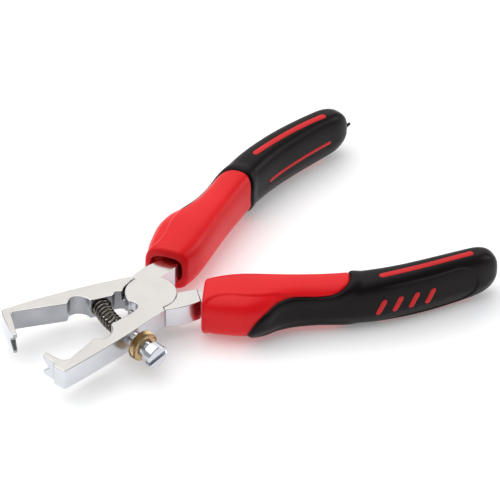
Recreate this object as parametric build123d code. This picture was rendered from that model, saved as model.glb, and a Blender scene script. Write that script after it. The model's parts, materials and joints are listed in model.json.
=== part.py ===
from build123d import *

import os
from math import cos, pi, radians, sin

# Adjustable end wire stripper, 160 mm class, in millimetres.
#
# Two crossed steel levers turn on a flush rivet.  Each lever is drawn in its own
# lever frame: the rivet's axis is the origin, +X runs to the handle, +Y points to
# the outside of the handle, which is also the way the jaw's hook points.  Lever A
# carries the lower jaw and the left handle and its lap plate is the upper half of
# the joint.  Lever B is its mirror image and its lap plate is the lower half.
#
# The tool lies on the undersides of its two grips.  +X runs from the jaws to the
# handles and +Z is up.

os.makedirs("parts", exist_ok=True)

# ---- driving dimensions -------------------------------------------------------
OPEN_HALF_ANGLE = 20.0        # each lever from the tool's centre line, at rest
STEEL_T = 7.4                 # thickness of the forged levers
LAP_GAP = 0.05                # running gap between the two lap plates
DISC_R = 8.3                  # lap plate radius
LAP_CLEARANCE = 0.12          # between a lap plate's rim and the other lever's tang
SHOULDER_R = 8.9              # jaw-side shoulder round the other lap plate
SHOULDER_CENTRE = (-0.34, 0.6)
STOP_CORNER = (-4.2, -9.0)    # jaw-side corner that stops the levers when open
TANG_STOP_R = 9.82            # tang-side corner that meets it
TANG_STOP_ANGLE = 74.1

RIVET_R = 2.5
RIVET_HEAD_R = 3.4
RIVET_COUNTERSINK = 1.0       # depth of the cone under each flush head
RIVET_RUN_CLEARANCE = 0.04

SCREW_R = 2.5                 # M5 cheese-head screw, drawn without its thread
SCREW_CLEARANCE = 0.03
SCREW_TILT = 11.5             # screw axis from the lever's +Y
SCREW_AT_X = -16.5            # where the screw's axis crosses the jaw's inner edge
SCREW_HEAD_R = 3.9
SCREW_HEAD = (-19.2, -15.7)   # along the screw's axis, outer face and inner face
SCREW_HEAD_EDGE = 0.35
SCREW_SLOT = (1.6, 1.6)       # width and depth
SCREW_SLOT_TURN = 77.0
TAPPED_FROM = -12.0           # the tapped hole runs right through the jaw's arm
TAPPED_LENGTH = 14.0
SCREW_NECK = -3.2             # the point starts here, clear of the spring at full advance
SCREW_NECK_CONE = 0.6
SCREW_POINT_R = 1.2
SCREW_END = 2.9
NUT_R = 5.0
NUT = (-13.6, -10.2)
NUT_FACE_R = 3.9

SPRING_R = 2.53               # mean radius of the coil
SPRING_WIRE_R = 0.4
SPRING_TURNS = 8.5
SPRING_INSET = {"a": -0.15, "b": -0.35}   # how far each end stands inside the jaw's edge
SEAT_R = 3.2
SEAT_DEPTH = {"a": 1.0, "b": 2.0}
SEAT_TILT = {"a": SCREW_TILT, "b": 6.0}
SEAT_AT_X = {"a": SCREW_AT_X, "b": -16.0}
SEAT_LAND = 3.6               # half the width of the flat round each spring seat

NOTCH_AT_X = {"a": -28.6, "b": -27.1}     # front of the relief ahead of the spring
THROAT_Y = {"a": -1.5, "b": -2.5}         # floor of the throat beside the joint
THROAT_X = -9.5
THROAT_R = 2.35
BLADE_V = 2.6                 # depth and half width of the stripping notch

TANG_END = 14.6               # full-thickness tang ends just inside the mouth
BAR_INSET = 0.4               # the bar inside the grip is this much thinner each way
GRIP_FRONT = 17.7             # grip's mouth on the lever's own X axis
GRIP_FRONT_SLOPE = 0.33       # the mouth leans forward towards the outside
GRIP_POWER = 3.0              # superellipse exponent of the grip's section
GRIP_RIM = 1.9                # wall round the mouth's hollow
COVER_T = 1.8                 # soft cover over the red core
END_PEG = (1.0, 2.4)          # width and length of the moulding peg on handle A's end
END_PEG_AT = (112.4, 4.2)
SECTION_POINTS = 20
BLOCK_HALF = 20.0             # half height of the blocks that cut the grips in plan

# Grip sections: x, inner y, outer y, thickness.
GRIP_SECTIONS = [
    (10.0, 0.4, 9.2, 12.4),
    (14.0, -0.2, 10.8, 14.2),
    (18.5, -0.8, 13.3, 15.6),
    (24.0, -1.1, 16.5, 17.0),
    (30.0, -0.4, 19.1, 18.0),
    (38.0, 1.4, 17.4, 17.6),
    (43.0, 2.6, 16.5, 17.2),
    (50.0, 4.0, 16.8, 17.0),
    (58.0, 5.4, 18.0, 17.2),
    (68.0, 6.6, 18.7, 17.9),
    (78.0, 6.6, 18.2, 18.6),
    (88.0, 5.5, 16.8, 18.8),
    (98.0, 3.7, 14.6, 18.4),
    (105.0, 2.2, 12.8, 17.0),
    (110.5, 1.6, 10.8, 13.0),
    (112.8, 3.4, 8.4, 7.0),
]

# Edge of the soft cover in plan, from the inside of the handle round to the tongue's tip.
COVER_EDGE = [
    (60.6, -10), (60.6, 5.5), (62.3, 9.0), (61.7, 13.4), (59.7, 15.9), (56.0, 16.6),
    (46.4, 15.8), (38.2, 16.3), (34.6, 17.6), (28.6, 18.7), (28.6, 40),
]

TOP_STRIPE = (71.4, 13.5, 103.3, 8.0, 2.4)    # start x, start y, end x, end y, width
SIDE_STRIPE = (72.4, 102.0, 1.6)              # on the inside: start x, end x, height
SIDE_BARS = (71.0, 5.6, 4, 2.3, 5.8)          # on the outside: first x, pitch, count, width, height
SIDE_BAR_LEAN = 25.0
SIDE_BAR_Y = 22.0             # middle of the deep blocks that cut the bars


# ---- frames -------------------------------------------------------------------
def place(shape, side):
    """Lever frame to tool frame: turn by the opening and, on side B, roll over."""
    turned = shape.rotate(Axis.Z, OPEN_HALF_ANGLE)
    if side == "b":
        turned = turned.mirror(Plane.XZ).mirror(Plane.XY)
    return turned


def to_tool(point, side):
    """A point on the mid-plane, from the lever frame to the tool frame."""
    turned = point.rotate(Axis.Z, OPEN_HALF_ANGLE)
    return Vector(turned.X, turned.Y * (1 if side == "a" else -1), 0)


def seat_frame(side, along=0.0):
    """Plane on a spring seat's axis: its normal points out of the jaw's inner edge."""
    tilt = radians(SEAT_TILT[side])
    out = Vector(sin(tilt), cos(tilt), 0)
    origin = Vector(SEAT_AT_X[side], 0, 0) + out * along
    return Plane(origin=origin, x_dir=(0, 0, 1), z_dir=out)


def slab(face, low, high):
    """A plan outline made solid from one height to another."""
    return extrude(Pos(0, 0, low) * face, amount=high - low)


# ---- levers -------------------------------------------------------------------
def jaw_outline(side):
    """Plan of the jaw's arm and hook, as far as the joint."""
    heel = {"a": (-46.9, -2.6), "b": (-48.0, -1.4)}[side]
    start = NOTCH_AT_X[side]
    land = seat_frame(side)
    across = Vector(land.z_dir.Y, -land.z_dir.X, 0)
    seat = Vector(SEAT_AT_X[side], 0, 0) - land.z_dir * 0.4
    land_front = seat - across * SEAT_LAND
    land_back = seat + across * SEAT_LAND
    floor = THROAT_Y[side]
    with BuildLine() as line:
        ThreePointArc(heel, (-25.5, -6.4), STOP_CORNER)
        Line(STOP_CORNER, (0, 0))
        Line((0, 0), (-6.0, 0.8))
        Line((-6.0, 0.8), (-7.2, 0.8))
        RadiusArc((-7.2, 0.8), (THROAT_X, floor), 2.6)
        Line((THROAT_X, floor), (land_back.X + 1.2, floor))
        Line((land_back.X + 1.2, floor), (land_back.X, land_back.Y))
        Line((land_back.X, land_back.Y), (land_front.X, land_front.Y))
        ThreePointArc(
            (land_front.X, land_front.Y), (start + 4.2, -2.8), (start + 1.2, -2.2)
        )
        Line((start + 1.2, -2.2), (start, 0))
        if side == "a":
            Line((start, 0), (-40.2, 0))
            ThreePointArc((-40.2, 0), (-42.3, 0.9), (-43.2, 3.0))
            Line((-43.2, 3.0), (-43.1, 7.7))
            Line((-43.1, 7.7), (-44.85, 7.7))
            ThreePointArc((-44.85, 7.7), (-45.2, 5.2), (-45.4, 3.0))
            Line((-45.4, 3.0), (-46.8, 1.8))
            Line((-46.8, 1.8), heel)
        else:
            Line((start, 0), (-44.6, 0.4))
            Line((-44.6, 0.4), (-45.3, 0.9))
            Line((-45.3, 0.9), (-45.3, 11.7))
            Line((-45.3, 11.7), (-46.6, 11.7))
            ThreePointArc((-46.6, 11.7), (-47.75, 5.0), heel)
    return make_face(line.line)


def tang_outline():
    """Plan of the tang behind the joint and of the bar inside the grip."""
    stop = (
        TANG_STOP_R * cos(radians(TANG_STOP_ANGLE)),
        TANG_STOP_R * sin(radians(TANG_STOP_ANGLE)),
    )
    with BuildLine() as line:
        Line((0, 0), stop)
        ThreePointArc(stop, (6.0, 9.5), (TANG_END, 7.6))
        Line((TANG_END, 7.6), (TANG_END, 1.35))
        Line((TANG_END, 1.35), (7.6, 1.85))
        Line((7.6, 1.85), (0, 0))
    return make_face(line.line)


def bar_outline():
    """Plan of the thinner bar that the grip is moulded on."""
    with BuildLine() as line:
        Spline((TANG_END, 7.6), (40.0, 12.4), (68.0, 15.2), (92.0, 12.0))
        Line((92.0, 12.0), (91.0, 7.6))
        Spline((91.0, 7.6), (68.0, 9.8), (40.0, 6.2), (TANG_END, 1.7))
        Line((TANG_END, 1.7), (TANG_END, 7.6))
    return make_face(line.line)


def blade_notch(side):
    """The V cut into the tip of the hook, which strips the insulation."""
    tip = {"a": 7.7, "b": 11.7}[side]
    beyond = 0.6
    half = BLADE_V + beyond
    with BuildSketch(Plane.YZ.offset(-50)) as sketch:
        Polygon(
            (tip - BLADE_V, 0), (tip + beyond, half), (tip + beyond, -half), align=None
        )
    return extrude(sketch.sketch, amount=10)


def lever(side):
    """One forged lever in its lever frame, lap plate in the upper half."""
    half = STEEL_T / 2
    solid = slab(jaw_outline(side), -half, half)
    solid += slab(tang_outline(), -half, half)
    solid += slab(Circle(DISC_R), 0, half)
    solid += slab(bar_outline(), BAR_INSET - half, half - BAR_INSET)
    throat = Pos(THROAT_X, THROAT_Y[side] / 2 + 1.65) * Circle(THROAT_R)
    solid -= slab(throat, -half, half)
    recess = Circle(DISC_R + LAP_CLEARANCE)
    recess += Pos(*SHOULDER_CENTRE) * Circle(SHOULDER_R) - Pos(10, 0) * Rectangle(20, 30)
    solid -= slab(recess, -half - 1, LAP_GAP / 2)
    solid -= blade_notch(side)
    seat = seat_frame(side, -SEAT_DEPTH[side] - 0.4)
    solid -= extrude(seat * Circle(SEAT_R), amount=SEAT_DEPTH[side] + 4)
    return solid


def countersink(small, large):
    """Cone that widens to a lap plate's outer face."""
    on_floor = (Align.CENTER, Align.CENTER, Align.MIN)
    cone = Cone(small, large, RIVET_COUNTERSINK, align=on_floor)
    return Pos(0, 0, STEEL_T / 2 - RIVET_COUNTERSINK) * cone


def lever_a():
    """Lever A: tapped for the adjusting screw, rivet pressed into its lap plate."""
    solid = lever("a")
    tapped = seat_frame("a", TAPPED_FROM)
    solid -= extrude(tapped * Circle(SCREW_R + SCREW_CLEARANCE), amount=TAPPED_LENGTH)
    solid -= Cylinder(RIVET_R, STEEL_T, align=(Align.CENTER,) * 3)
    solid -= countersink(RIVET_R, RIVET_HEAD_R)
    return place(solid, "a")


def lever_b():
    """Lever B: bored to turn on the rivet."""
    solid = lever("b")
    bore = RIVET_R + RIVET_RUN_CLEARANCE
    solid -= Cylinder(bore, STEEL_T, align=(Align.CENTER,) * 3)
    solid -= countersink(bore, RIVET_HEAD_R + RIVET_RUN_CLEARANCE)
    return place(solid, "b")


def pivot_rivet():
    """Flush countersunk rivet through both lap plates."""
    half = STEEL_T / 2
    with BuildSketch(Plane.XZ) as sketch:
        Polygon(
            (0, -half), (RIVET_HEAD_R, -half), (RIVET_R, RIVET_COUNTERSINK - half),
            (RIVET_R, half - RIVET_COUNTERSINK), (RIVET_HEAD_R, half), (0, half), align=None,
        )
    return revolve(sketch.sketch, Axis.Z)


# ---- adjusting screw and opening spring -----------------------------------------
def turned(profile):
    """A body of revolution about seat A's axis, from (radius, along) points."""
    with BuildSketch(Plane.XZ) as sketch:
        Polygon(*profile, align=None)
    body = revolve(sketch.sketch, Axis.Z)
    return seat_frame("a").location * body


def adjusting_screw():
    """Cheese-head screw, slotted, with a turned-down point inside the spring."""
    outer, inner = SCREW_HEAD
    edge = SCREW_HEAD_EDGE
    body = turned([
        (0, outer), (SCREW_HEAD_R - edge, outer), (SCREW_HEAD_R, outer + edge),
        (SCREW_HEAD_R, inner), (SCREW_R, inner), (SCREW_R, SCREW_NECK - SCREW_NECK_CONE),
        (SCREW_POINT_R, SCREW_NECK), (SCREW_POINT_R, SCREW_END - edge),
        (SCREW_POINT_R - edge, SCREW_END), (0, SCREW_END),
    ])
    width, depth = SCREW_SLOT
    slot = Rot(0, 0, SCREW_SLOT_TURN) * Box(4 * SCREW_HEAD_R, width, 2 * depth)
    body -= seat_frame("a", outer).location * slot
    return place(body, "a")


def lock_nut():
    """Round knurled nut with a conical face towards the screw's head."""
    outer, inner = NUT
    bore = SCREW_R + SCREW_CLEARANCE
    body = turned([
        (bore, outer), (NUT_FACE_R, outer), (NUT_R, outer + 0.7),
        (NUT_R, inner - 0.3), (NUT_R - 0.3, inner), (bore, inner),
    ])
    return place(body, "a")


def spring_ends():
    """Where the spring's straight axis starts and ends, in the tool frame."""
    return [to_tool(seat_frame(side, SPRING_INSET[side]).origin, side) for side in "ab"]


def opening_spring():
    """Compression coil between the two seats."""
    low, high = spring_ends()
    axis = high - low
    length = axis.length - 2 * SPRING_WIRE_R
    path = Helix(length / SPRING_TURNS, length, SPRING_R)
    wire = Plane(path @ 0, z_dir=path % 0) * Circle(SPRING_WIRE_R)
    coil = sweep(wire, path=path, is_frenet=True)
    frame = Plane(origin=low + axis.normalized() * SPRING_WIRE_R, z_dir=axis.normalized())
    return frame.location * coil


# ---- grips ----------------------------------------------------------------------
def grip_section(x, inner, outer, thickness, inset=0.0):
    """Superellipse across the handle at one station."""
    middle = (inner + outer) / 2
    wide = (outer - inner) / 2 - inset
    high = thickness / 2 - inset
    points = []
    for step in range(SECTION_POINTS):
        turn = 2 * pi * (step + 0.5) / SECTION_POINTS
        c, s = cos(turn), sin(turn)
        reach = 2 / GRIP_POWER
        y = middle + wide * abs(c) ** reach * (1 if c > 0 else -1)
        z = high * abs(s) ** reach * (1 if s > 0 else -1)
        points.append((x, y, z))
    return Face(Wire([Spline(*points, periodic=True)]))


def grip_loft(inset, first, last):
    """Solid through the sections from one station to another, shrunk by the inset."""
    return loft([
        grip_section(*row, inset=inset) for row in GRIP_SECTIONS if first <= row[0] <= last
    ])


def plan_block(points):
    """A tall block over a plan polygon."""
    return slab(make_face(Polyline(*points, close=True)), -BLOCK_HALF, BLOCK_HALF)


def cover_region():
    """Plan of the soft cover: the back of the handle and a tongue along its outside."""
    return plan_block([*COVER_EDGE, (130, 40), (130, -10)])


def mouth_cut():
    """Everything ahead of the leaning mouth."""
    lean = GRIP_FRONT_SLOPE
    return plan_block([
        (-10, -20), (GRIP_FRONT + 20 * lean, -20), (GRIP_FRONT - 40 * lean, 40), (-10, 40),
    ])


def inlay_blocks():
    """Blocks that carry the inlays: above, below, on the inside and on the outside."""
    x0, y0, x1, y1, wide = TOP_STRIPE
    run = Vector(x1 - x0, y1 - y0, 0)
    middle = Location(((x0 + x1) / 2, (y0 + y1) / 2, 0))
    lean = Rot(0, 0, Vector(1, 0, 0).get_signed_angle(run, Vector(0, 0, 1)))
    stripe = lean * Box(run.length, wide, BLOCK_HALF)
    top = middle * Pos(0, 0, BLOCK_HALF / 2) * stripe
    bottom = middle * Pos(0, 0, -BLOCK_HALF / 2) * stripe
    side_from, side_to, side_high = SIDE_STRIPE
    length = side_to - side_from
    inside = Pos((side_from + side_to) / 2, 0, 0) * Box(length, 14, side_high)
    first, pitch, count, bar_wide, bar_high = SIDE_BARS
    bar = Rot(0, SIDE_BAR_LEAN, 0) * Box(bar_wide, BLOCK_HALF, bar_high)
    outside = [Pos(first + pitch * i, SIDE_BAR_Y, 0) * bar for i in range(count)]
    return [top, bottom, inside], outside


def grip(side):
    """Red sleeve, soft cover and inlays of one handle."""
    whole = grip_loft(0, 10, 113) - mouth_cut()
    core = grip_loft(COVER_T, 24, 111)
    bar_half = STEEL_T / 2 - BAR_INSET
    bar = slab(bar_outline(), -bar_half, bar_half)
    back = cover_region()
    hollow = grip_loft(GRIP_RIM, 10, 24)
    sleeve = (whole - back) + core
    sleeve -= hollow
    sleeve -= bar
    stripes, side_bars = inlay_blocks()
    skin = whole & back
    skin -= core
    cover = skin
    for block in stripes + side_bars:
        cover -= block
    if side == "a":
        wide, long = END_PEG
        cover += Pos(*END_PEG_AT, 0) * Box(long, wide, wide)
    named = {
        "grip_sleeve": [sleeve],
        "grip_cover": [cover],
        "stripe_inlays": [skin & block for block in stripes],
        "side_inlay": [skin & block for block in side_bars],
    }
    placed = {}
    for name, shapes in named.items():
        solids = [solid for shape in shapes for solid in place(shape, side).solids()]
        placed[f"{name}_{side}"] = Compound(solids)
    return placed


# ---- whole tool -----------------------------------------------------------------
def build():
    """Every node in the tool frame, with the rivet's axis at the origin."""
    nodes = {
        "lever_a": lever_a(),
        "lever_b": lever_b(),
        "pivot_rivet": pivot_rivet(),
        "opening_spring": opening_spring(),
        "adjusting_screw": adjusting_screw(),
        "lock_nut": lock_nut(),
    }
    nodes.update(grip("a"))
    nodes.update(grip("b"))
    return nodes


def row_origin(nodes):
    """Centre of the base of the bounding box."""
    boxes = [shape.bounding_box() for shape in nodes.values()]
    low = [min(tuple(box.min)[i] for box in boxes) for i in range(3)]
    high = [max(tuple(box.max)[i] for box in boxes) for i in range(3)]
    return Vector((low[0] + high[0]) / 2, (low[1] + high[1]) / 2, low[2])


nodes = build()
origin = row_origin(nodes)
for name, shape in nodes.items():
    export_step(shape.moved(Location(-origin)), f"parts/{name}.step")
print("rivet axis in the row frame:", tuple(round(v, 4) for v in -origin))
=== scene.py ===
"""Looks of an adjustable end wire stripper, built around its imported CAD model.

Shapes are worked out in millimetres in a lever frame: the rivet's axis is the
origin, +X runs along the lever to the handle, +Y points to the outside of the
handle and Z runs through the tool's thickness.  TO_ROW carries each lever frame
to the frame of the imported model, in metres.
"""
import json
import math

import bmesh
import bpy
import numpy as np
from mathutils import Matrix, Vector


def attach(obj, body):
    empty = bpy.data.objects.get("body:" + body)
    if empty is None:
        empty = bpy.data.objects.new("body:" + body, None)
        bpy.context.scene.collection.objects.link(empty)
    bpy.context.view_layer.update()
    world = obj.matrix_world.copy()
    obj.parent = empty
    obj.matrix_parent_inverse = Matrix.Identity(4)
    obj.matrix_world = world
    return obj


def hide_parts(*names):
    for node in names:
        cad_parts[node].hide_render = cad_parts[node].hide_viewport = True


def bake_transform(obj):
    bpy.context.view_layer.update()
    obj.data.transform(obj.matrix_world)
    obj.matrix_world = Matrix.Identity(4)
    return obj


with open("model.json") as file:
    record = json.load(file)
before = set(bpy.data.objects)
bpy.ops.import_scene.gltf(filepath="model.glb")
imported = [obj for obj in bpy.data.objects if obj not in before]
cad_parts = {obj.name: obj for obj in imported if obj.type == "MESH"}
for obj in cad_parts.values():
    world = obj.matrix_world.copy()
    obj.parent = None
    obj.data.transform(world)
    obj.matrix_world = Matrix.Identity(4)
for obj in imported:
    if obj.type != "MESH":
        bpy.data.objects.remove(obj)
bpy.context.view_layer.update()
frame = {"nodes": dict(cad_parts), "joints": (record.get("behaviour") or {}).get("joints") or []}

# ---- frames ---------------------------------------------------------------------
MM = 0.001
OPEN_HALF_ANGLE = math.radians(20)
joints = {joint["name"]: joint for joint in frame["joints"]}
PIVOT = Vector(joints["lever_pivot"]["pos_m"])

lever_turn = Matrix.Rotation(OPEN_HALF_ANGLE, 4, "Z") @ Matrix.Scale(MM, 4)
TO_ROW = {
    "a": Matrix.Translation(PIVOT) @ lever_turn,
    "b": Matrix.Translation(PIVOT) @ Matrix.Rotation(math.pi, 4, "X") @ lever_turn,
}

# The grips are mirror images of each other, so B's is carried over by a mirror.
GRIP_TO_ROW = {
    "a": TO_ROW["a"],
    "b": Matrix.Translation(PIVOT) @ Matrix.Scale(-1, 4, (0, 1, 0)) @ lever_turn,
}

# Spring seats: where each axis crosses the jaw's inner edge, and its tilt.
SEAT_AT = {"a": -16.5, "b": -16.0}
SEAT_TILT = {"a": math.radians(11.5), "b": math.radians(6.0)}


def seat_matrix(side):
    """Local frame of a spring seat: Z runs out of the jaw's inner edge."""
    z_axis = Vector((math.sin(SEAT_TILT[side]), math.cos(SEAT_TILT[side]), 0))
    x_axis = Vector((0, 0, 1))
    y_axis = z_axis.cross(x_axis)
    turn = Matrix((x_axis, y_axis, z_axis)).transposed().to_4x4()
    return TO_ROW[side] @ Matrix.Translation((SEAT_AT[side], 0, 0)) @ turn


# ---- materials --------------------------------------------------------------------
def new_material(name):
    """An empty principled material with its node tree."""
    material = bpy.data.materials.new(name)
    material.use_nodes = True
    nodes = material.node_tree.nodes
    return material, nodes, material.node_tree.links, nodes["Principled BSDF"]


def object_coords(nodes, links, scale):
    """Object coordinates stretched by a scale per axis."""
    coords = nodes.new("ShaderNodeTexCoord")
    mapping = nodes.new("ShaderNodeMapping")
    mapping.inputs["Scale"].default_value = scale
    links.new(coords.outputs["Object"], mapping.inputs["Vector"])
    return mapping.outputs["Vector"]


def noise(nodes, links, vector, scale, detail=4.0, roughness=0.55):
    """A noise texture on the given coordinates."""
    texture = nodes.new("ShaderNodeTexNoise")
    texture.inputs["Scale"].default_value = scale
    texture.inputs["Detail"].default_value = detail
    texture.inputs["Roughness"].default_value = roughness
    links.new(vector, texture.inputs["Vector"])
    return texture.outputs["Fac"]


def ramp(nodes, links, factor, low, high, start=0.3, end=0.7):
    """Colour ramp between two colours."""
    node = nodes.new("ShaderNodeValToRGB")
    node.color_ramp.elements[0].position = start
    node.color_ramp.elements[1].position = end
    node.color_ramp.elements[0].color = (*low, 1)
    node.color_ramp.elements[1].color = (*high, 1)
    links.new(factor, node.inputs["Fac"])
    return node.outputs["Color"]


def spread(nodes, links, factor, low, high):
    """A number that runs from low to high with the factor."""
    node = nodes.new("ShaderNodeMapRange")
    node.inputs["From Min"].default_value = 0.3
    node.inputs["From Max"].default_value = 0.7
    node.inputs["To Min"].default_value = low
    node.inputs["To Max"].default_value = high
    links.new(factor, node.inputs["Value"])
    return node.outputs["Result"]


def add_bump(nodes, links, shader, height, strength, distance):
    """Fine relief from a height, in metres at full strength."""
    bump = nodes.new("ShaderNodeBump")
    bump.inputs["Strength"].default_value = strength
    bump.inputs["Distance"].default_value = distance
    links.new(height, bump.inputs["Height"])
    links.new(bump.outputs["Normal"], shader.inputs["Normal"])


def metal(name, dark, light, rough, grain, streak, bump=0.15):
    """Metal with a directional grain: grain is the scale per axis, streak its noise scale."""
    material, nodes, links, shader = new_material(name)
    fine = noise(nodes, links, object_coords(nodes, links, grain), streak)
    broad = noise(nodes, links, object_coords(nodes, links, (1, 1, 1)), 90.0, 3.0)
    links.new(ramp(nodes, links, broad, dark, light), shader.inputs["Base Color"])
    links.new(spread(nodes, links, fine, *rough), shader.inputs["Roughness"])
    shader.inputs["Metallic"].default_value = 1.0
    add_bump(nodes, links, shader, fine, bump, 0.00003)
    return material


def moulded(name, dark, light, rough, grain, bump, specular, sheen=0.0):
    """Moulded plastic or rubber: mottled slightly, with a fine spark-eroded grain."""
    material, nodes, links, shader = new_material(name)
    vector = object_coords(nodes, links, (1, 1, 1))
    broad = noise(nodes, links, vector, 60.0, 3.0)
    fine = noise(nodes, links, vector, grain, 3.0, 0.6)
    links.new(ramp(nodes, links, broad, dark, light), shader.inputs["Base Color"])
    links.new(spread(nodes, links, fine, *rough), shader.inputs["Roughness"])
    shader.inputs["Specular IOR Level"].default_value = specular
    shader.inputs["Sheen Weight"].default_value = sheen
    shader.inputs["Sheen Roughness"].default_value = 0.4
    add_bump(nodes, links, shader, fine, bump, 0.00006)
    return material


FLAT_GRAIN = (3, 14, 3)
SIDE_GRAIN = (14, 14, 3)
EVEN = (1, 1, 1)
STEEL = metal(
    "satin_nickel_steel", (0.60, 0.588, 0.572), (0.65, 0.637, 0.62), (0.13, 0.19),
    FLAT_GRAIN, 1500.0, 0.02,
)
# Copy of the steel for upright faces, with painted reflection: its colour is brighter and bluer than
# the tops' and stands in for the pale floor and sky these faces mirror. Its rougher, crosswise grain
# is the faces' own finish.
STEEL_SIDE_PAINTED_REFLECTION = metal(
    "side_steel_painted_reflection", (0.64, 0.66, 0.70), (0.70, 0.715, 0.75), (0.20, 0.28),
    SIDE_GRAIN, 1100.0, 0.05,
)
# Darker copy of the steel for the upright faces between the jaws, with painted shade: the darkness
# stands in for the shade where the jaws face each other. Its rougher grain is the faces' own finish.
STEEL_PAINTED_SHADE = metal(
    "inner_steel_painted_shade", (0.34, 0.35, 0.375), (0.43, 0.44, 0.465), (0.22, 0.32),
    SIDE_GRAIN, 1100.0, 0.06,
)
ZINC = metal(
    "zinc_plated_steel", (0.56, 0.59, 0.63), (0.68, 0.70, 0.73), (0.14, 0.22), EVEN, 2600.0, 0.03,
)
SPRING_STEEL = metal(
    "spring_steel", (0.10, 0.085, 0.07), (0.24, 0.215, 0.19), (0.14, 0.24), EVEN, 2500.0,
)
BRASS = metal(
    "brass", (0.44, 0.31, 0.165), (0.60, 0.44, 0.25), (0.18, 0.27), EVEN, 2600.0, 0.03,
)
# Dark brass for the faces in the knurls' valleys: painted shade in the valleys.
BRASS_VALLEY_SHADE = metal(
    "brass_valley_painted_shade", (0.10, 0.06, 0.025), (0.18, 0.115, 0.05), (0.35, 0.5), EVEN, 2600.0, 0.03,
)
RED = moulded(
    "red_plastic", (0.74, 0.005, 0.009), (0.82, 0.008, 0.013), (0.30, 0.40), 2600.0, 0.14, 0.22,
)
RED_INLAY = moulded(
    "red_inlay", (0.60, 0.010, 0.012), (0.70, 0.014, 0.017), (0.44, 0.54), 2600.0, 0.14, 0.26,
)
BLACK = moulded(
    "soft_black", (0.0055, 0.0036, 0.0038), (0.0090, 0.0062, 0.0064), (0.27, 0.37), 3200.0, 0.3,
    0.13, 0.004,
)


# ---- mesh helpers -------------------------------------------------------------------
def new_piece(name, points, faces, matrix, material, body=None, sharp=None):
    """A mesh object in the row frame, with its material and the body it rides on."""
    mesh = bpy.data.meshes.new(name)
    mesh.from_pydata([matrix @ Vector(p) for p in points], [], faces)
    mesh.validate()
    mesh.polygons.foreach_set("use_smooth", [True] * len(mesh.polygons))
    if sharp:
        mesh.set_sharp_from_angle(angle=math.radians(sharp))
    mesh.materials.append(material)
    mesh.update()
    piece = bpy.data.objects.new(name, mesh)
    bpy.context.scene.collection.objects.link(piece)
    if body:
        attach(piece, body)
    return piece


def rings_to_faces(rings, around):
    """Quads between consecutive closed rings of the same number of points."""
    faces = []
    for ring in range(rings - 1):
        for k in range(around):
            a = ring * around + k
            b = ring * around + (k + 1) % around
            faces.append((a, b, b + around, a + around))
    return faces


def lathe(profile, around, radius=None):
    """Points and faces of a turned body, closed over both ends on its axis."""
    points = []
    for r, along in profile:
        for k in range(around):
            turn = 2 * math.pi * k / around
            reach = radius(r, along, turn) if radius else r
            points.append((reach * math.cos(turn), reach * math.sin(turn), along))
    faces = rings_to_faces(len(profile), around)
    faces.append(tuple(reversed(range(around))))
    faces.append(tuple(range((len(profile) - 1) * around, len(profile) * around)))
    return points, faces


def tube(centres, frames, radius, around=12):
    """Points and faces of a round wire along its centre points."""
    points = []
    for centre, (side, up) in zip(centres, frames):
        for k in range(around):
            turn = 2 * math.pi * k / around
            points.append(centre + radius * (math.cos(turn) * side + math.sin(turn) * up))
    faces = rings_to_faces(len(centres), around)
    faces.append(tuple(reversed(range(around))))
    faces.append(tuple(range((len(centres) - 1) * around, len(centres) * around)))
    return points, faces


def smoothstep(x, low, high):
    """Smooth rise from 0 at low to 1 at high."""
    t = np.clip((x - low) / (high - low), 0, 1)
    return t * t * (3 - 2 * t)


def hermite(xs, ys, x):
    """Smooth curve through the points (xs, ys), evaluated at x."""
    xs, ys = np.asarray(xs, float), np.asarray(ys, float)
    slopes = np.gradient(ys, xs)
    k = np.clip(np.searchsorted(xs, x) - 1, 0, len(xs) - 2)
    h = xs[k + 1] - xs[k]
    t = np.clip((x - xs[k]) / h, 0, 1)
    return (
        (2 * t**3 - 3 * t**2 + 1) * ys[k]
        + (t**3 - 2 * t**2 + t) * h * slopes[k]
        + (3 * t**2 - 2 * t**3) * ys[k + 1]
        + (t**3 - t**2) * h * slopes[k + 1]
    )


# ---- grips ----------------------------------------------------------------------------
# Sections: x, inner y, outer y, thickness, exponent on the outside, exponent on the inside.
GRIP_SECTIONS = np.array([
    (10.0, 0.4, 9.2, 12.4, 3.2, 3.6),
    (14.0, -0.2, 10.8, 14.2, 3.0, 3.6),
    (18.5, -0.8, 13.3, 15.6, 2.9, 3.5),
    (24.0, -1.1, 16.5, 17.0, 2.8, 3.4),
    (30.0, -0.4, 19.1, 18.0, 2.8, 3.3),
    (33.0, 0.2, 19.1, 18.0, 2.8, 3.2),
    (38.0, 1.4, 17.2, 17.6, 2.9, 3.0),
    (43.0, 2.6, 16.4, 17.2, 2.9, 2.9),
    (50.0, 4.0, 16.8, 17.0, 2.9, 2.8),
    (58.0, 5.4, 18.0, 17.2, 3.0, 2.8),
    (68.0, 6.6, 18.7, 17.9, 3.2, 2.9),
    (78.0, 6.7, 18.1, 18.3, 3.3, 3.0),
    (88.0, 5.7, 16.6, 18.4, 3.3, 3.1),
    (98.0, 4.1, 14.3, 18.0, 3.3, 3.1),
    (105.0, 2.7, 12.6, 17.2, 3.2, 3.0),
    (112.8, 1.1, 10.5, 16.2, 3.0, 2.8),
])
UNDERSIDE_POWER = 2.05         # the underside is rounder than the top
GRIP_END = 112.8
END_ROUND_FROM = 101.5
END_ROUND_POWER = 3.0
MOUTH_AT = 17.7
MOUTH_LEAN = 0.33
MOUTH_FADE_TO = 36.0
END_LEAN = 0.16
END_LEAN_FROM = 99.0
RIM_RADIUS = 0.9
RIM_WALL = (1.9, 3.3)          # thickness of the mouth's walls across y and across z
AROUND = 144
SKIN_T = 1.7

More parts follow.
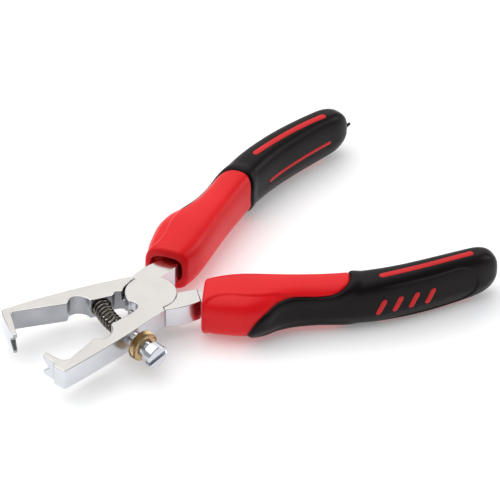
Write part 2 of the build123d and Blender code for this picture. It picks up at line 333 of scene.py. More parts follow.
# Edge of the soft cover on the unrolled skin: x, distance round from the outer middle line.
COVER_EDGE = [
    (60.8, -40.0), (60.8, -29.0), (61.2, -23.0), (62.0, -19.5), (62.4, -17.0), (62.2, -14.5),
    (61.3, -11.4), (59.0, -9.2), (55.0, -8.0), (50.0, -7.8), (44.0, -8.2), (37.0, -8.8),
    (32.4, -8.6), (30.0, -7.4), (29.2, -5.4), (29.5, -3.0), (30.3, -0.6), (31.4, 1.6), (33.0, 3.6),
    (35.4, 5.2), (38.4, 6.2), (42.0, 6.6), (46.4, 6.2), (51.2, 5.9), (55.6, 6.5), (59.0, 8.4),
    (61.3, 11.2), (62.2, 14.5), (62.4, 17.0), (62.0, 19.5), (61.2, 23.0), (60.8, 29.0), (60.8, 40.0),
]
# Edge of the sunk flank ahead of the tongue, same coordinates.
FLANK_EDGE = [
    (43.0, -9.0), (38.0, -10.4), (33.5, -11.6), (29.0, -12.0), (24.5, -11.4), (20.6, -9.2),
    (17.7, -5.6), (16.0, -2.4), (15.6, 0.0), (16.0, 2.4), (17.7, 5.6), (20.6, 9.2),
    (24.5, 11.3), (29.0, 11.5), (33.5, 10.6), (38.0, 8.9), (43.0, 7.2),
]
# Shallow panel on the outside of the black cover: start, end, half width.
PANEL = (50.0, 104.5, 7.6)


def grip_size(x):
    """Middle y, half width, half height and both exponents at x."""
    inner, outer, thick, power_out, power_in = (
        hermite(GRIP_SECTIONS[:, 0], GRIP_SECTIONS[:, k], x) for k in range(1, 6)
    )
    run = np.clip((x - END_ROUND_FROM) / (GRIP_END - END_ROUND_FROM), 0, 1)
    close = np.maximum(1 - run**END_ROUND_POWER, 0) ** (1 / END_ROUND_POWER)
    return (inner + outer) / 2, (outer - inner) / 2 * close, thick / 2 * close, power_out, power_in


def grip_base(x, phi):
    """y and z of the plain skin at x, in the direction phi from the outer side."""
    middle, wide, high, power_out, power_in = grip_size(x)
    c, s = np.cos(phi), np.sin(phi)
    power = power_in + (power_out - power_in) * smoothstep(c, -0.6, 0.6)
    under = smoothstep(-s, -0.15, 0.55) * smoothstep(x, 16.0, 34.0)
    power = power + (UNDERSIDE_POWER - power) * under
    reach = (np.abs(c) ** power + np.abs(s) ** power) ** (-1 / power)
    return middle + wide * reach * c, high * reach * s


def grip_arc(x, phi, steps=40):
    """Distance round the skin from the outer middle line, signed like phi."""
    total = np.zeros_like(x)
    y0, z0 = grip_base(x, 0 * phi)
    for k in range(1, steps + 1):
        y1, z1 = grip_base(x, phi * k / steps)
        total += np.hypot(y1 - y0, z1 - z0)
        y0, z0 = y1, z1
    return np.copysign(total, phi)


def edge_distance(edge, x, s):
    """Distance in millimetres to an open edge, positive behind it (towards +x, or inside)."""
    edge = np.array(edge)
    t = np.linspace(0, len(edge) - 1, 12 * (len(edge) - 1) + 1)
    ex = hermite(range(len(edge)), edge[:, 0], t)
    es = hermite(range(len(edge)), edge[:, 1], t)
    px, ps = x.ravel(), s.ravel()
    best = np.full(px.shape, 1e9)
    sign = np.ones(px.shape)
    for k in range(len(t) - 1):
        dx, ds = ex[k + 1] - ex[k], es[k + 1] - es[k]
        along = np.clip(((px - ex[k]) * dx + (ps - es[k]) * ds) / (dx * dx + ds * ds), 0, 1)
        qx, qs = px - ex[k] - along * dx, ps - es[k] - along * ds
        distance = np.hypot(qx, qs)
        nearer = distance < best
        best = np.where(nearer, distance, best)
        sign = np.where(nearer, np.sign(qx * ds - qs * dx), sign)
    return (best * sign).reshape(x.shape)


def panel_distance(x, s):
    """Distance inside the rounded panel on the outer side of the cover."""
    start, end, half = PANEL
    ahead = np.clip(x, start + half, end - half)
    return half - np.hypot(x - ahead, s)


def skin_fields(x, phi):
    """Signed distances to the cover's edge, the flank's edge and the panel's edge."""
    wrapped = (phi + np.pi) % (2 * np.pi) - np.pi
    s = grip_arc(x, wrapped)
    return [edge_distance(COVER_EDGE, x, s), edge_distance(FLANK_EDGE, x, s), panel_distance(x, s)]


# Levels of each field along which the skin's cells are cut.
FIELD_LEVELS = [
    (-1.0, -0.45, -0.18, 0.0, 0.12, 0.35, 0.8, 1.6),
    (-0.5, -0.15, 0.2, 0.7),
    (-0.5, -0.1, 0.3, 0.8),
]


GROOVE_DEPTH, GROOVE_WIDTH = 0.34, 0.3
LIP_HEIGHT = 0.42
FLANK_DEPTH, BRIM_HEIGHT = 0.42, 0.10
PANEL_DEPTH = 0.42


def skin_lift(x, fields):
    """Height of the skin's relief over the plain skin, in millimetres."""
    cover, flank, panel = fields
    groove = -GROOVE_DEPTH * np.exp(-((cover / GROOVE_WIDTH) ** 2))
    lip = LIP_HEIGHT * smoothstep(cover, 0, 0.9) * (1 - 0.9 * smoothstep(cover, 1.4, 4.5))
    fade = 1 - smoothstep(x, 39.0, 45.0)
    sunk = -FLANK_DEPTH * smoothstep(flank, -0.15, 0.7) * fade * (cover < 0)
    brim = BRIM_HEIGHT * np.exp(-(((flank + 0.45) / 0.35) ** 2)) * fade * (cover < 0)
    recess = -PANEL_DEPTH * smoothstep(panel, -0.3, 0.6) * smoothstep(x, 66.0, 84.0)
    return groove + lip + sunk + brim + recess


def lean_shift(x, y):
    """How far the leaning mouth and end move a point of the skin that stands at nominal x."""
    at_mouth = 1 - smoothstep(x, MOUTH_AT, MOUTH_FADE_TO)
    at_end = smoothstep(x, END_LEAN_FROM, GRIP_END)
    return END_LEAN * (y - GRIP_SECTIONS[-1, 2]) * at_end - MOUTH_LEAN * y * at_mouth


def skin_points(x, phi, lift):
    """Points of the skin, lifted along its normal."""
    y, z = grip_base(x, phi)
    step = 0.05
    yx, zx = grip_base(np.minimum(x + step, GRIP_END - 0.02), phi)
    ya, za = grip_base(np.minimum(x + step, GRIP_END - 0.02) - step, phi)
    yp, zp = grip_base(x, phi + 0.01)
    ym, zm = grip_base(x, phi - 0.01)
    along = np.stack([np.full_like(x, step), yx - ya, zx - za], -1)
    across = np.stack([np.zeros_like(x), yp - ym, zp - zm], -1)
    normal = np.cross(across, along)
    normal /= np.maximum(np.linalg.norm(normal, axis=-1, keepdims=True), 1e-9)
    points = np.stack([x + lean_shift(x, y), y, z], -1)
    return points + normal * np.asarray(lift)[..., None]


def grip_rows():
    """Nominal x of the rings: evenly spaced along the body, close together at the round end."""
    front = MOUTH_AT + RIM_RADIUS
    body = np.linspace(front, END_ROUND_FROM, 128)
    turn = np.linspace(0, math.pi / 2, 26)[1:]
    end = END_ROUND_FROM + (GRIP_END - 0.06 - END_ROUND_FROM) * np.sin(turn)
    return np.concatenate([body, end])


def split_cell(cell, field, level):
    """Cut one cell along a level of a field; each corner is (x, phi, fields...)."""
    below, above = [], []
    for k, corner in enumerate(cell):
        after = cell[(k + 1) % len(cell)]
        here, there = corner[field] - level, after[field] - level
        if here <= 0:
            below.append(corner)
        if here >= 0:
            above.append(corner)
        if here * there < 0:
            share = here / (here - there)
            cut = tuple(a + (b - a) * share for a, b in zip(corner, after))
            cut = cut[:field] + (level,) + cut[field + 1:]
            below.append(cut)
            above.append(cut)
    return below, above


def grip_cells():
    """Cells of the unrolled skin, cut so that the relief's edges run along cell edges."""
    rows = grip_rows()
    phis = np.linspace(0, 2 * np.pi, AROUND + 1)
    x, phi = np.meshgrid(rows, phis, indexing="ij")
    fields = skin_fields(x, phi)
    corners = np.stack([x, phi, *fields], -1)
    finished = []
    for i in range(len(rows) - 1):
        for j in range(AROUND):
            quad = [corners[i, j], corners[i, j + 1], corners[i + 1, j + 1], corners[i + 1, j]]
            cells = [[tuple(c) for c in quad]]
            for number, levels in enumerate(FIELD_LEVELS):
                field = 2 + number
                for level in levels:
                    cut = []
                    for cell in cells:
                        values = [c[field] for c in cell]
                        if min(values) < level < max(values):
                            parts = split_cell(cell, field, level)
                            cut += [part for part in parts if len(part) > 2]
                        else:
                            cut.append(cell)
                    cells = cut
            finished += cells
    return finished


class Skin:
    """Collects cells into one mesh, sharing the corners that meet."""

    def __init__(self):
        self.keys = {}
        self.corners = []
        self.layers = []
        self.faces = []

    def corner(self, corner, layer):
        key = (round(corner[0], 4), round(corner[1] % (2 * math.pi), 5), layer)
        if abs(key[1] - round(2 * math.pi, 5)) < 2e-5:
            key = (key[0], 0.0, layer)
        if key not in self.keys:
            self.keys[key] = len(self.corners)
            self.corners.append(corner)
            self.layers.append(layer)
        return self.keys[key]

    def cell(self, cell, layer, flip=False):
        ids = [self.corner(c, layer) for c in cell]
        ids = [k for n, k in enumerate(ids) if k != ids[n - 1]]
        if len(ids) > 2:
            self.faces.append(tuple(reversed(ids)) if flip else tuple(ids))

    def wall(self, cell, upper, lower, flip=False):
        """Join two layers along the cell's edge that lies on the cover's edge."""
        for k, corner in enumerate(cell):
            after = cell[(k + 1) % len(cell)]
            if corner[2] == 0.0 and after[2] == 0.0:
                a, b = self.corner(corner, upper), self.corner(after, upper)
                c, d = self.corner(after, lower), self.corner(corner, lower)
                if len({a, b, c, d}) == 4:
                    self.faces.append((a, d, c, b) if not flip else (a, b, c, d))

    def points(self):
        """Layer 0 follows the relief, layer 1 lies a skin's thickness under it."""
        corners = np.array(self.corners)
        x, phi = corners[:, 0], corners[:, 1]
        lift = skin_lift(x, [corners[:, 2], corners[:, 3], corners[:, 4]])
        lift = np.where(np.array(self.layers) == 1, -SKIN_T, lift)
        lift = lift * (1 - smoothstep(x, 106, 110) * (np.array(self.layers) == 0))
        return skin_points(x, phi, lift)


def ring_at(skin, x, layer):
    """Corners of one layer that stand at nominal x, in order round the skin."""
    keys = sorted(key for key in skin.keys if key[2] == layer and abs(key[0] - x) < 1e-3)
    return [skin.keys[key] for key in keys]


def close_end(faces, skin, layer):
    """One face over the last ring."""
    faces.append(tuple(ring_at(skin, grip_rows()[-1], layer)))


def mouth_rings(points, faces, skin):
    """Rounded rim, hollow and its end wall, joined to the skin's first ring."""
    ring = ring_at(skin, grip_rows()[0], 0)
    phi = np.array([skin.corners[k][1] for k in ring])
    # share of the wall's thickness and distance behind the mouth's plane, from the outside in
    rim = [
        (0.03, 0.5), (0.12, 0.2), (0.26, 0.03), (0.4, 0.0), (0.7, 0.0), (0.86, 0.08), (0.95, 0.3),
        (0.99, 0.7), (1.0, 1.6), (1.02, 3.2), (1.05, 6.0), (1.3, 6.8),
    ]
    wall_y, wall_z = RIM_WALL
    previous = ring
    for share, back in rim:
        x = np.full_like(phi, MOUTH_AT + back)
        y, z = grip_base(x, phi)
        middle, wide, high, _, _ = grip_size(x)
        y = middle + (y - middle) * (wide - share * wall_y) / wide
        z = z * (high - share * wall_z) / high
        start = len(points)
        points += [tuple(p) for p in np.stack([x - MOUTH_LEAN * y, y, z], -1)]
        current = list(range(start, start + len(phi)))
        for k in range(len(phi)):
            after = (k + 1) % len(phi)
            faces.append((previous[after], previous[k], current[k], current[after]))
        previous = current
    faces.append(tuple(previous))


PAD_ROOT = 0.25                # how far a pad's rim lies under the skin
PAD_DEPTH = 0.9                # how far its underside lies under the skin


def patch(name, side, path, half_width, phi_of, crown, rows=48, bow=0.0):
    """A raised red inlay with rounded ends that follows the skin.

    path gives x and the second coordinate at its two ends, and phi_of turns such points
    into x and phi on the skin."""
    across = 9
    t = (1 - np.cos(np.linspace(0, np.pi, rows))) / 2
    w = np.linspace(-1, 1, across)
    start, end = np.array(path[0], float), np.array(path[1], float)
    run = end - start
    length = np.hypot(*run)
    normal = np.array([-run[1], run[0]]) / length
    away = np.minimum(t, 1 - t) * length
    width = half_width * np.sqrt(1 - np.clip(1 - away / half_width, 0, 1) ** 2)
    bend = bow * np.sin(np.pi * t)
    aside = (width[:, None] * w + bend[:, None])[..., None]
    grid = start + run * t[:, None, None] + normal * aside
    x, phi = phi_of(grid[..., 0], grid[..., 1])
    body = np.sqrt(np.clip(1 - w**2, 0, 1)) * (width / half_width)[:, None] ** 0.5
    lift = skin_lift(x, skin_fields(x, phi)) - PAD_ROOT + (PAD_ROOT + crown) * body
    top = skin_points(x, phi, lift)
    under = skin_points(x, phi, np.full_like(x, -PAD_DEPTH))
    points = [tuple(p) for p in top.reshape(-1, 3)] + [tuple(p) for p in under.reshape(-1, 3)]
    faces = []
    below = rows * across
    for i in range(rows - 1):
        for j in range(across - 1):
            a = i * across + j
            quad = (a, a + 1, a + across + 1, a + across)
            faces.append(quad)
            faces.append(tuple(below + k for k in reversed(quad)))
    loop = [j for j in range(across)]
    loop += [i * across + across - 1 for i in range(1, rows)]
    loop += [(rows - 1) * across + j for j in range(across - 2, -1, -1)]
    loop += [i * across for i in range(rows - 2, 0, -1)]
    for k, a in enumerate(loop):
        b = loop[(k + 1) % len(loop)]
        faces.append((b, a, below + a, below + b))
    piece = new_piece(
        name, points, faces, GRIP_TO_ROW[side], RED_INLAY, f"lever_{side}",
    )
    fix_normals(piece)
    return piece


def fix_normals(piece):
    """Faces all turned outwards, doubles at the tips merged."""
    mesh = bmesh.new()
    mesh.from_mesh(piece.data)
    bmesh.ops.remove_doubles(mesh, verts=mesh.verts, dist=1e-6)
    bmesh.ops.recalc_face_normals(mesh, faces=mesh.faces)
    mesh.to_mesh(piece.data)
    mesh.free()


def phi_from_y(x, y, sign):
    """Skin coordinates of a point over the top (sign 1) or under the bottom (sign -1)."""
    phis = np.linspace(0.02, np.pi - 0.02, 400)
    flat = x.ravel()
    found = np.empty_like(flat)
    for k, (one_x, one_y) in enumerate(zip(flat, y.ravel())):
        ys, _ = grip_base(np.full_like(phis, one_x), phis)
        found[k] = np.interp(-one_y, -ys, phis)
    return x, sign * found.reshape(x.shape)


def phi_from_z(x, z, inner):
    """Skin coordinates of a point on the inner or the outer side."""
    offset = np.pi if inner else 0.0
    phis = np.linspace(-np.pi / 2, np.pi / 2, 400)
    flat = x.ravel()
    found = np.empty_like(flat)
    for k, (one_x, one_z) in enumerate(zip(flat, z.ravel())):
        _, zs = grip_base(np.full_like(phis, one_x), phis + offset)
        order = np.argsort(zs)
        found[k] = np.interp(one_z, zs[order], phis[order]) + offset
    return x, found.reshape(x.shape)


TOP_STRIPE = {
    "a": ((71.4, 12.9), (103.4, 6.9)),
    "b": ((71.1, 13.7), (103.8, 8.2)),
}
TOP_STRIPE_HALF = 1.3
TOP_STRIPE_CROWN = 0.16
STRIPE_BOW = 0.7
SIDE_STRIPE = ((72.4, 0.0), (102.0, 0.0))
SIDE_STRIPE_HALF = 0.8
SIDE_STRIPE_CROWN = 0.14
BAR_FIRST, BAR_PITCH, BAR_COUNT = 71.0, 5.6, 4
BAR_RUN = (1.35, 2.9)
BAR_HALF = 1.15
BAR_CROWN = 0.2


def grip(side, cells):
    """Sleeve, cover and inlays of one handle."""
    sleeve, cover = Skin(), Skin()
    for cell in cells:
        behind = sum(c[2] for c in cell) > 0
        sleeve.cell(cell, 1 if behind else 0)
        if behind:
            sleeve.wall(cell, 0, 1, flip=True)
            cover.cell(cell, 0)
            cover.cell(cell, 1, flip=True)
            cover.wall(cell, 0, 1)
    body = f"lever_{side}"
    points, faces = [tuple(p) for p in sleeve.points()], sleeve.faces
    mouth_rings(points, faces, sleeve)
    close_end(faces, sleeve, 1)
    piece = new_piece(f"sleeve_{side}", points, faces, GRIP_TO_ROW[side], RED, body)
    fix_normals(piece)
    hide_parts(f"grip_sleeve_{side}")
    points, faces = [tuple(p) for p in cover.points()], cover.faces
    close_end(faces, cover, 0)
    close_end(faces, cover, 1)
    piece = new_piece(f"cover_{side}", points, faces, GRIP_TO_ROW[side], BLACK, body)
    fix_normals(piece)
    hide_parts(f"grip_cover_{side}")
    for sign, word in ((1, "upper"), (-1, "lower")):
        piece = patch(
            f"stripe_{word}_{side}", side, TOP_STRIPE[side], TOP_STRIPE_HALF,
            lambda x, y: phi_from_y(x, y, sign), TOP_STRIPE_CROWN, bow=STRIPE_BOW,
        )
        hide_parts(f"stripe_inlays_{side}")
    piece = patch(
        f"stripe_inner_{side}", side, SIDE_STRIPE, SIDE_STRIPE_HALF,
        lambda x, z: phi_from_z(x, z, True), SIDE_STRIPE_CROWN,
    )
    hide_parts(f"stripe_inlays_{side}")
    lean, high = BAR_RUN
    for k in range(BAR_COUNT):
        x = BAR_FIRST + BAR_PITCH * k
        piece = patch(
            f"side_bar_{k + 1}_{side}", side, ((x - lean, -high), (x + lean, high)), BAR_HALF,
            lambda x, z: phi_from_z(x, z, False), BAR_CROWN, rows=20,
        )
        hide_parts(f"side_inlay_{side}")


END_PEG_TIP = (113.6, 4.2, 0.2)
END_PEG_R, END_PEG_LONG = 0.55, 3.4


def end_peg():
    """Small moulding peg on the round end of handle A's cover."""
    profile = [
        (0.02, -END_PEG_LONG), (END_PEG_R, -END_PEG_LONG), (END_PEG_R, -0.2), (0.42, 0.0), (0.02, 0.0),
    ]
    points, faces = lathe(profile, 16)
    at = Matrix.Translation(END_PEG_TIP) @ Matrix.Rotation(math.pi / 2, 4, "Y")
    new_piece("cover_end_peg", points, faces, TO_ROW["a"] @ at, BLACK, "lever_a", 35)


# ---- levers ---------------------------------------------------------------------------
EDGE_BREAK = 0.28
RIVET_KEEP = 4.2
SIDE_FACE = 0.25               # a face leans less than this from upright
JAW_TO = -5.0


def lever(side):
    """The forged lever with its edges broken, from the CAD node's own shape."""
    source = frame["nodes"][f"lever_{side}"]
    mesh = bmesh.new()
    mesh.from_mesh(source.data)
    bmesh.ops.remove_doubles(mesh, verts=mesh.verts, dist=1e-6)
    bmesh.ops.dissolve_limit(
        mesh, angle_limit=math.radians(0.6), verts=mesh.verts, edges=mesh.edges,
    )
    edges = []
    for edge in mesh.edges:
        if len(edge.link_faces) != 2 or edge.calc_face_angle(0) < math.radians(32):
            continue
        middle = (edge.verts[0].co + edge.verts[1].co) / 2 - PIVOT
        if math.hypot(middle.x, middle.y) / MM > RIVET_KEEP:
            edges.append(edge)
    bmesh.ops.bevel(
        mesh, geom=edges, offset=EDGE_BREAK * MM, offset_type="OFFSET", segments=2,
        profile=0.6, affect="EDGES", clamp_overlap=False, miter_outer="SHARP",
    )
    bmesh.ops.recalc_face_normals(mesh, faces=mesh.faces)
    data = bpy.data.meshes.new(f"forged_lever_{side}")
    mesh.to_mesh(data)
    mesh.free()
    data.polygons.foreach_set("use_smooth", [True] * len(data.polygons))
    data.set_sharp_from_angle(angle=math.radians(40))
    data.materials.clear()
    for material in (STEEL, STEEL_SIDE_PAINTED_REFLECTION, STEEL_PAINTED_SHADE):
        data.materials.append(material)
    to_lever = TO_ROW[side].inverted()
    turn = to_lever.to_3x3().normalized()
    # Tops keep the plain steel; upright faces take the copy with painted reflection, and upright faces
    # between the jaws the copy with painted shade.
    for face in data.polygons:
        if abs(face.normal.z) > SIDE_FACE:
            continue
        painted_shade_between_jaws = (to_lever @ face.center).x < JAW_TO and (turn @ face.normal).y > SIDE_FACE
        face.material_index = 2 if painted_shade_between_jaws else 1
    piece = bpy.data.objects.new(f"forged_lever_{side}", data)
    bpy.context.scene.collection.objects.link(piece)
    weighted = piece.modifiers.new("weighted", "WEIGHTED_NORMAL")
    weighted.keep_sharp = True
    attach(piece, f"lever_{side}")
    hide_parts(f"lever_{side}")
    return piece


# ---- adjusting screw, nut and spring ----------------------------------------------------
THREAD_PITCH = 0.8
THREAD_DEPTH = 0.42
SCREW_R = 2.5
SCREW_POINT_R = 1.2
HEAD_R = 3.9
HEAD_FROM, HEAD_TO = -19.2, -15.7
SLOT_WIDE, SLOT_DEEP, SLOT_TURN = 1.6, 1.6, math.radians(77)
NECK, POINT_END = -3.2, 2.9
NECK_CONE = 0.6
THREAD_RUNOUT = 0.8
NUT_R = 5.0
NUT_FROM, NUT_TO = -13.6, -10.2
KNURLS = 44
STEPS_PER_KNURL = 8
KNURL_DEPTH = 0.5
KNURLED_RINGS = (2, 3, 4, 5)   # rings of the profile that carry the teeth


def screw_shank():
    """Threaded shank with a real helix and the turned-down point."""
    around = 48
    per_turn = 10
    thread_end = NECK - NECK_CONE
    rings = int((thread_end - HEAD_TO) / THREAD_PITCH * per_turn)
    points = []
    for ring in range(rings + 1):
        along = HEAD_TO + (thread_end - HEAD_TO) * ring / rings
        fade = min(1, (along - HEAD_TO) / THREAD_RUNOUT, (thread_end - along) / THREAD_RUNOUT)
        for k in range(around):
            turn = k / around
            phase = (along / THREAD_PITCH - turn) % 1
            tooth = min(1, max(0, 2.6 * abs(phase - 0.5) - 0.15))
            reach = SCREW_R - 0.02 - THREAD_DEPTH * (1 - tooth) * max(fade, 0)
            points.append((
                reach * math.cos(2 * math.pi * turn), reach * math.sin(2 * math.pi * turn), along,
            ))
    for reach, along in (
        (SCREW_R - 0.3, NECK - 0.45), (SCREW_POINT_R, NECK + 0.1), (SCREW_POINT_R, POINT_END - 0.4),
        (SCREW_POINT_R - 0.4, POINT_END), (0.05, POINT_END),
    ):
        for k in range(around):
            turn = 2 * math.pi * k / around
            points.append((reach * math.cos(turn), reach * math.sin(turn), along))
    faces = rings_to_faces(len(points) // around, around)
    faces.append(tuple(reversed(range(around))))
    faces.append(tuple(range(len(points) - around, len(points))))
    return new_piece(
        "screw_shank", points, faces, seat_matrix("a"), ZINC, "screw", 40,
    )


def screw_head():
    """Cheese head with a sawn slot and broken edges."""
    edge = 0.45
    profile = [(0.02, HEAD_FROM), (HEAD_R - edge, HEAD_FROM)]
    for k in range(1, 5):
        turn = math.pi / 2 * k / 4
        reach = HEAD_R - edge + edge * math.sin(turn)
        profile.append((reach, HEAD_FROM + edge * (1 - math.cos(turn))))
    profile += [(HEAD_R, HEAD_TO - 0.25), (HEAD_R - 0.25, HEAD_TO), (0.02, HEAD_TO)]
    points, faces = lathe(profile, 72)
    head = new_piece("screw_head", points, faces, seat_matrix("a"), ZINC)
    cutter_mesh = bpy.data.meshes.new("slot_cutter")
    cutter_shape = bmesh.new()
    bmesh.ops.create_cube(cutter_shape, size=1.0)
    size = Matrix.Diagonal((4 * HEAD_R, SLOT_WIDE, 2 * SLOT_DEEP, 1))
    turn = Matrix.Rotation(SLOT_TURN, 4, "Z")
    place = seat_matrix("a") @ Matrix.Translation((0, 0, HEAD_FROM)) @ turn @ size
    bmesh.ops.transform(cutter_shape, matrix=place, verts=cutter_shape.verts)
    cutter_shape.to_mesh(cutter_mesh)
    cutter_shape.free()
    cutter = bpy.data.objects.new("slot_cutter", cutter_mesh)
    bpy.context.scene.collection.objects.link(cutter)
    cut = head.modifiers.new("slot", "BOOLEAN")
    cut.object = cutter
    cut.solver = "EXACT"
    bpy.context.view_layer.update()
    shown = head.evaluated_get(bpy.context.evaluated_depsgraph_get())
    data = bpy.data.meshes.new_from_object(shown)
    head.modifiers.clear()
    head.data = data
    bpy.data.objects.remove(cutter)
    data.polygons.foreach_set("use_smooth", [True] * len(data.polygons))
    data.set_sharp_from_angle(angle=math.radians(38))
    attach(head, "screw")
    return head


def lock_nut():
    """Round brass nut with a straight-knurled rim and a coned outer face."""
    bore = SCREW_R + 0.02

    def knurled(r, along, turn):
        share = max(0.0, min(1.0, (r - (NUT_R - 0.75)) / 0.6))
        phase = (KNURLS * turn / (2 * math.pi)) % 1
        return r - KNURL_DEPTH * share * abs(2 * phase - 1)

    profile = [
        (bore, NUT_TO), (NUT_R - 0.9, NUT_TO), (NUT_R - 0.3, NUT_TO - 0.1),
        (NUT_R, NUT_TO - 0.35), (NUT_R, NUT_TO - 1.2), (NUT_R, NUT_FROM + 1.0),
        (NUT_R - 0.3, NUT_FROM + 0.75), (4.5, NUT_FROM + 0.55), (4.1, NUT_FROM + 0.12),
        (3.9, NUT_FROM), (2.95, NUT_FROM), (bore, NUT_FROM + 0.35), (bore, NUT_TO),
    ]
    around = KNURLS * STEPS_PER_KNURL
    points = []
    for r, along in profile:
        for k in range(around):
            turn = 2 * math.pi * k / around
            reach = knurled(r, along, turn)
            points.append((reach * math.cos(turn), reach * math.sin(turn), along))
    faces = rings_to_faces(len(profile), around)
    piece = new_piece("knurled_nut", points, faces, seat_matrix("a"), BRASS)
    piece.data.materials.append(BRASS_VALLEY_SHADE)
    # Faces in the knurls' valleys take the dark brass, which is painted shade.
    for number, face in enumerate(piece.data.polygons):
        ring, step = divmod(number, around)
        if ring in KNURLED_RINGS and step % STEPS_PER_KNURL in (0, 1, 6, 7):
            face.material_index = 1
    fix_normals(piece)
    piece.data.set_sharp_from_angle(angle=math.radians(35))
    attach(piece, "nut")
    return piece


SPRING_R = 2.5
WIRE_R = 0.42
SPRING_TURNS = 9.5
CLOSED_TURNS = 1.0
SPRING_PULL = 5.5              # how far each seat's axis leads the bowed coil
SEAT_FLOOR = {"a": -1.0, "b": -2.0}


def opening_spring():
    """Coil with closed ends, bowed between its two seats."""
    low, high = seat_matrix("a"), seat_matrix("b")
    start = low @ Vector((0, 0, SEAT_FLOOR["a"]))
    end = high @ Vector((0, 0, SEAT_FLOOR["b"]))
    out_low = (low.to_3x3() @ Vector((0, 0, 1))).normalized()
    out_high = -(high.to_3x3() @ Vector((0, 0, 1))).normalized()
    pull = SPRING_PULL * MM
    control = [start, start + out_low * pull, end - out_high * pull, end]

    def centre(t):
        u = 1 - t
        return (
            control[0] * u**3 + control[1] * 3 * u * u * t
            + control[2] * 3 * u * t * t + control[3] * t**3
        )

    def along(t):
        u = 1 - t
        rate = (
            (control[1] - control[0]) * u * u + (control[2] - control[1]) * 2 * u * t
            + (control[3] - control[2]) * t * t
        )
        return rate.normalized()

    length = (end - start).length
    closed = CLOSED_TURNS * 2 * WIRE_R * MM / length
    steps = int(SPRING_TURNS * 40)
    wire = []
    for step in range(steps + 1):
        turns = SPRING_TURNS * step / steps
        if turns < CLOSED_TURNS:
            t = closed * turns / CLOSED_TURNS
        elif turns > SPRING_TURNS - CLOSED_TURNS:
            t = 1 - closed * (SPRING_TURNS - turns) / CLOSED_TURNS
        else:
            share = (turns - CLOSED_TURNS) / (SPRING_TURNS - 2 * CLOSED_TURNS)
            t = closed + (1 - 2 * closed) * share
        axis = along(t)
        side = Vector((0, 0, 1))
        other = axis.cross(side)
        turn = 2 * math.pi * turns
        wire.append(centre(t) + SPRING_R * MM * (math.cos(turn) * side + math.sin(turn) * other))
    frames = []
    for k, point in enumerate(wire):
        ahead = wire[min(k + 1, len(wire) - 1)] - wire[max(k - 1, 0)]
        ahead.normalize()
        radial = (point - centre(k / steps)).normalized()
        up = ahead.cross(radial).normalized()
        frames.append((up.cross(ahead).normalized(), up))
    points, faces = tube(wire, frames, WIRE_R * MM)
    piece = new_piece(
        "coil_spring", points, faces, Matrix.Identity(4), SPRING_STEEL, sharp=50,
    )
    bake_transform(piece)
    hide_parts("opening_spring")
    return piece


# ---- build the pieces ---------------------------------------------------------------------
cells = grip_cells()
for side in "ab":
    lever(side)
    grip(side, cells)
end_peg()
head = screw_head()
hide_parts("adjusting_screw")
shank = screw_shank()
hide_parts("adjusting_screw")
nut = lock_nut()
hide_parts("lock_nut")
opening_spring()
rivet = frame["nodes"]["pivot_rivet"]
rivet.data.materials.clear()
rivet.data.materials.append(STEEL)

# ---- floor, light and camera ------------------------------------------------------------------
FLOOR_GLOW = 0.2               # keeps the floor pale under the tool


def floor():
    """Wide pale floor with a faint mottle."""
    half = 3.0
    mesh = bpy.data.meshes.new("floor")
    corners = [(-half, -half, 0), (half, -half, 0), (half, half, 0), (-half, half, 0)]
    mesh.from_pydata(corners, [], [(0, 1, 2, 3)])
    material, nodes, links, shader = new_material("pale_floor")
    vector = object_coords(nodes, links, (1, 1, 1))
    mottle = noise(nodes, links, vector, 3.0, 2.0)
    pale = ramp(nodes, links, mottle, (0.94, 0.94, 0.94), (0.96, 0.96, 0.96))
    links.new(pale, shader.inputs["Base Color"])
    shader.inputs["Roughness"].default_value = 0.8
    shader.inputs["Emission Color"].default_value = (1, 1, 1, 1)
    shader.inputs["Emission Strength"].default_value = FLOOR_GLOW
    mesh.materials.append(material)
    piece = bpy.data.objects.new("floor", mesh)
    bpy.context.scene.collection.objects.link(piece)


def soft_light(name, azimuth, elevation, distance, size, power, colour):
    """A square soft box that looks at the tool."""
    data = bpy.data.lights.new(name, "AREA")
    data.size = size
    data.energy = power
    data.color = colour
    light = bpy.data.objects.new(name, data)
    a, e = math.radians(azimuth), math.radians(elevation)
    away = Vector((math.cos(e) * math.cos(a), math.cos(e) * math.sin(a), math.sin(e)))
    light.location = away * distance
    light.rotation_euler = (-away).to_track_quat("-Z", "Y").to_euler()
    bpy.context.scene.collection.objects.link(light)


PALE_SKY = (0.95, 0.975, 1.0)
CARD_GREY = (0.28, 0.29, 0.32)
DARK_CARD = (-0.25, -0.65, 0.72)       # direction of a dark card over the front of the tool
# Name, azimuth and elevation in degrees, distance and size in metres, watts, colour.
SOFT_LIGHTS = [
    ("overhead", 150, 66, 1.2, 1.7, 13.5, (1, 1, 1)),
    ("back", 58, 40, 1.5, 1.5, 5.7, (1.0, 0.965, 0.93)),
    ("fill", -22, 24, 1.5, 0.7, 4.2, (1, 1, 1)),
]


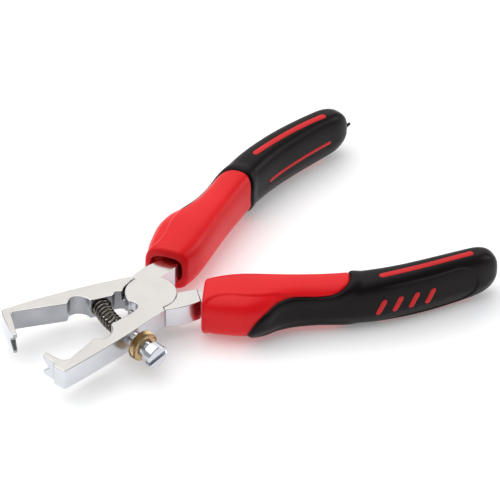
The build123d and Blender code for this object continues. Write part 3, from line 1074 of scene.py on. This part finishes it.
def studio():
    """Pale surroundings with a dark card, and soft boxes above and to the sides."""
    world = bpy.data.worlds.new("studio")
    bpy.context.scene.world = world
    world.use_nodes = True
    nodes, links = world.node_tree.nodes, world.node_tree.links
    background = nodes["Background"]
    background.inputs["Strength"].default_value = 0.46
    coords = nodes.new("ShaderNodeTexCoord")
    towards = nodes.new("ShaderNodeVectorMath")
    towards.operation = "DOT_PRODUCT"
    towards.inputs[1].default_value = DARK_CARD
    links.new(coords.outputs["Generated"], towards.inputs[0])
    sky = ramp(nodes, links, towards.outputs["Value"], PALE_SKY, CARD_GREY, 0.55, 0.9)
    links.new(sky, background.inputs["Color"])
    for light in SOFT_LIGHTS:
        soft_light(*light)
    bpy.context.scene.view_settings.view_transform = "Standard"


VIEW_AZIMUTH = math.radians(32.129)
VIEW_DOWN = math.radians(39.893)
VIEW_DISTANCE = 1.410
VIEW_LENS = 319.2
VIEW_OFFSET = Vector((0, 0.65, 0)) * MM
VIEW_AIM = (31.90 * MM, 15.88 * MM)     # right and up of the rivet, where the view is centred


def camera():
    """Long lens from the front left of the jaws, looking down."""
    right = Vector((math.cos(VIEW_AZIMUTH), -math.sin(VIEW_AZIMUTH), 0))
    away = Vector((math.sin(VIEW_AZIMUTH), math.cos(VIEW_AZIMUTH), 0))
    ahead = away * math.cos(VIEW_DOWN) - Vector((0, 0, 1)) * math.sin(VIEW_DOWN)
    up = right.cross(ahead)
    place = PIVOT + VIEW_OFFSET - ahead * VIEW_DISTANCE
    aim = (ahead * VIEW_DISTANCE + right * VIEW_AIM[0] + up * VIEW_AIM[1]).normalized()
    side = aim.cross(up).normalized()
    true_up = side.cross(aim)
    data = bpy.data.cameras.new("camera")
    data.lens = VIEW_LENS
    data.sensor_width = 36.0
    data.clip_end = 20
    view = bpy.data.objects.new("camera", data)
    turn = Matrix((side, true_up, -aim)).transposed().to_4x4()
    view.matrix_world = Matrix.Translation(place) @ turn
    bpy.context.scene.collection.objects.link(view)
    bpy.context.scene.camera = view


floor()
studio()
camera()
